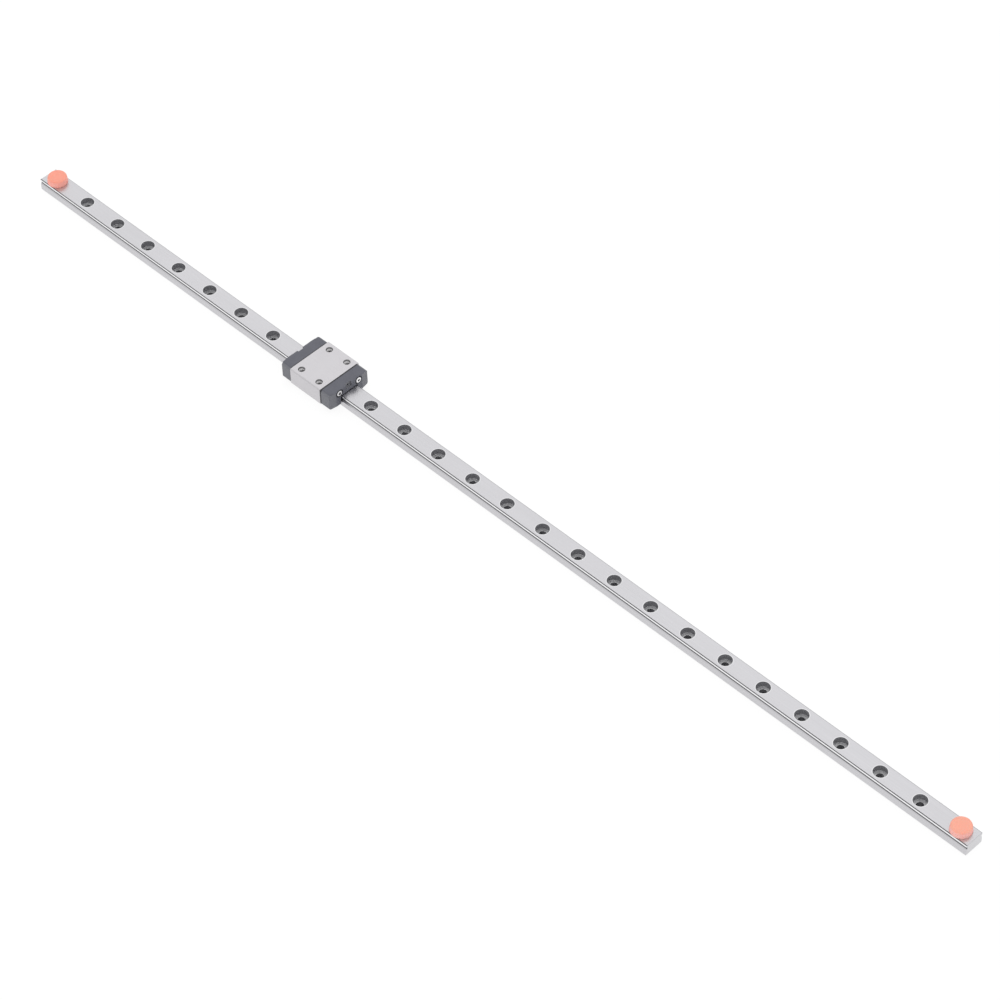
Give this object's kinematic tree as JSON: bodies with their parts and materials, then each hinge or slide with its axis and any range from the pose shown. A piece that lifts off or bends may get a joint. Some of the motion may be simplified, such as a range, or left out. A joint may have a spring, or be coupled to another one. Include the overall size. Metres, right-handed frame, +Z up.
{
  "type": "linear guide rail",
  "caption": "Miniature profile rail with counterbored holes, a ball carriage with plastic end caps that slides along it, and a rubber stop plug at each end.",
  "frame": {"origin": "centre of the rail's underside, midway along the rail", "axes": "+X along the rail towards its front end, +Y to the rail's left side, +Z up through the rail's top face"},
  "size_m": [0.4, 0.017, 0.008],
  "materials": {
    "rail_steel": "ground satin steel",
    "block_steel": "fine satin steel",
    "cap_plastic": "moulded matte plastic",
    "seal_rubber": "matte rubber",
    "screw_steel": "plated steel",
    "ball_steel": "polished bearing steel",
    "plug_rubber": "soft coral rubber"
  },
  "bodies": {
    "rail": {"rail": "rail_steel", "stop_plug_front": "plug_rubber", "stop_plug_rear": "plug_rubber"},
    "carriage": {"carriage_block": "block_steel", "end_cap_front": "cap_plastic", "end_cap_rear": "cap_plastic", "wiper_seal_front": "seal_rubber", "wiper_seal_rear": "seal_rubber", "cap_screw_front_left": "screw_steel", "cap_screw_front_right": "screw_steel", "cap_screw_rear_left": "screw_steel", "cap_screw_rear_right": "screw_steel"}
  },
  "joints": [
    {"name": "carriage_slide", "type": "slide", "parent": "rail", "child": "carriage", "axis": [1, 0, 0], "range_m": [-0.1142, 0.2462]}
  ]
}
